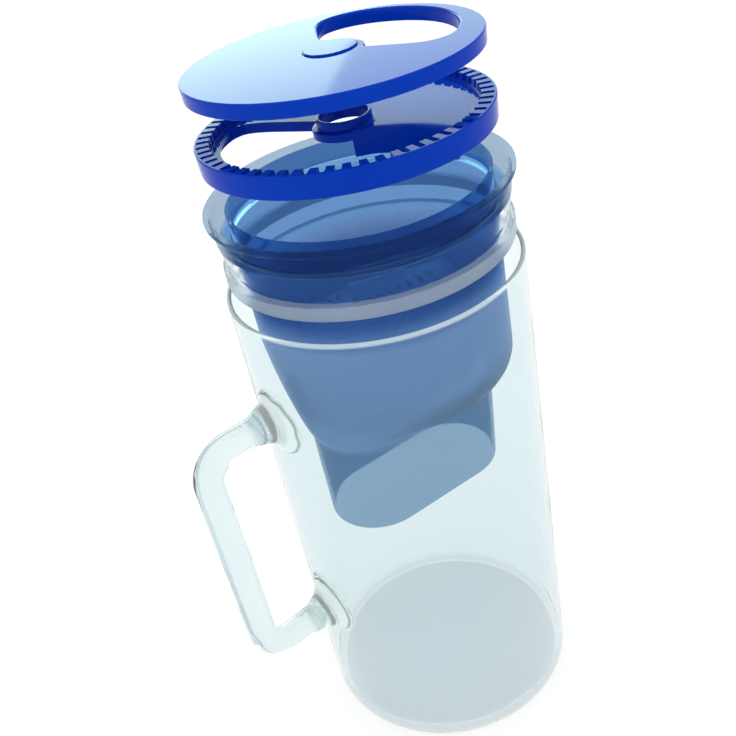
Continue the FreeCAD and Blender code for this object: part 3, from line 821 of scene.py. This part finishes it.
# opal table lit from below, a little less at its near side
lit = nt.nodes.new("ShaderNodeVectorMath")
lit.operation = "DOT_PRODUCT"
lit.inputs[1].default_value = (math.cos(math.radians(56.4)), math.sin(math.radians(56.4)), 0.0)
nt.links.new(co, lit.inputs[0])
p.inputs["Emission Color"].default_value = (1.0, 1.0, 1.0, 1.0)
nt.links.new(remap(nt, lit.outputs["Value"], 0.54, 0.74, -0.75, -0.30), p.inputs["Emission Strength"])
floor.data.materials.append(m)

# ------------------------------------------------------------------ light
world = bpy.data.worlds.new("studio")
scene.world = world
world.use_nodes = True
nt = world.node_tree
bg = nt.nodes["Background"]
tc = nt.nodes.new("ShaderNodeTexCoord").outputs["Generated"]


def along(v, lo, hi):
    # 0 to 1 as the direction turns towards v
    d = nt.nodes.new("ShaderNodeVectorMath")
    d.operation = "DOT_PRODUCT"
    d.inputs[1].default_value = v
    nt.links.new(tc, d.inputs[0])
    r = nt.nodes.new("ShaderNodeMapRange")
    r.interpolation_type = "SMOOTHSTEP"
    r.inputs["From Min"].default_value, r.inputs["From Max"].default_value = lo, hi
    nt.links.new(d.outputs["Value"], r.inputs["Value"])
    return r.outputs["Result"]


def mul(a, b):
    k = nt.nodes.new("ShaderNodeMath")
    k.operation = "MULTIPLY"
    for i, x in enumerate((a, b)):
        if isinstance(x, (int, float)):
            k.inputs[i].default_value = x
        else:
            nt.links.new(x, k.inputs[i])
    return k.outputs[0]


def add(a, b):
    k = nt.nodes.new("ShaderNodeMath")
    k.operation = "ADD"
    for i, x in enumerate((a, b)):
        if isinstance(x, (int, float)):
            k.inputs[i].default_value = x
        else:
            nt.links.new(x, k.inputs[i])
    return k.outputs[0]


def heading(az):
    return (math.cos(math.radians(az)), math.sin(math.radians(az)), 0.0)


def toward(az, el):
    a, e = math.radians(az), math.radians(el)
    return Vector((math.cos(a) * math.cos(e), math.sin(a) * math.cos(e), math.sin(e)))


# two soft boxes low behind the jug, seen in the lid's top, parted by a slanting edge
edge = toward(55.2, 14.0).cross(toward(56.7, 15.8)).normalized()
if edge.dot(toward(80, 14)) < 0:
    edge = -edge
side = along(toward(60, 0), 0.78, 0.90)
low = mul(mul(along((0, 0, 1), 0.08, 0.14), along((0, 0, 1), 0.296, 0.281)), side)
high = mul(mul(along((0, 0, 1), 0.281, 0.296), along((0, 0, 1), 0.56, 0.42)), side)
left = along(edge, -0.0025, 0.0035)
box = mul(low, add(2.1, mul(left, 2.35)))
box = add(box, mul(high, 2.4))
# slightly dimmer side of the room, behind the camera
front = mul(along(heading(236), 0.25, 0.75), along((0, 0, 1), 0.75, 0.35))
sky = add(1.0, mul(along((0, 0, 1), 0.3, 0.95), 0.3))
sky = mul(sky, add(1.0, mul(front, -0.05)))
nt.links.new(sky, bg.inputs["Strength"])
bg.inputs["Color"].default_value = (1.0, 1.0, 1.0, 1.0)
bg2 = nt.nodes.new("ShaderNodeBackground")
bg2.inputs["Color"].default_value = (0.75, 1.09, 0.78, 1.0)
nt.links.new(box, bg2.inputs["Strength"])
both = nt.nodes.new("ShaderNodeAddShader")
nt.links.new(bg.outputs[0], both.inputs[0])
nt.links.new(bg2.outputs[0], both.inputs[1])
nt.links.new(both.outputs[0], nt.nodes["World Output"].inputs["Surface"])

# ------------------------------------------------------------------ camera
R = 0.06
yaw, pitch, roll = math.radians(-1.94), math.radians(-33.06), math.radians(-12.44)
spin = Matrix.Rotation(math.radians(-33.6), 3, "Z")
C = spin @ (Vector((0.0, -5.466, 6.498)) * R)
fwd = Vector((math.sin(yaw) * math.cos(pitch), math.cos(yaw) * math.cos(pitch), math.sin(pitch)))
right = fwd.cross(Vector((0, 0, 1))).normalized()
up = right.cross(fwd)
r2 = spin @ (right * math.cos(roll) + up * math.sin(roll))
u2 = spin @ (-right * math.sin(roll) + up * math.cos(roll))
f2 = spin @ fwd
cam = bpy.data.cameras.new("camera")
cam.sensor_width, cam.lens = 36.0, 36.0 * 915.3 / 736.0
cam.clip_start, cam.clip_end = 0.01, 50.0
cam_ob = bpy.data.objects.new("camera", cam)
scene.collection.objects.link(cam_ob)
mw = Matrix((r2, u2, -f2)).transposed().to_4x4()
mw.translation = C
cam_ob.matrix_world = mw
scene.camera = cam_ob
scene.view_settings.view_transform = "Standard"
scene.view_settings.look = "None"
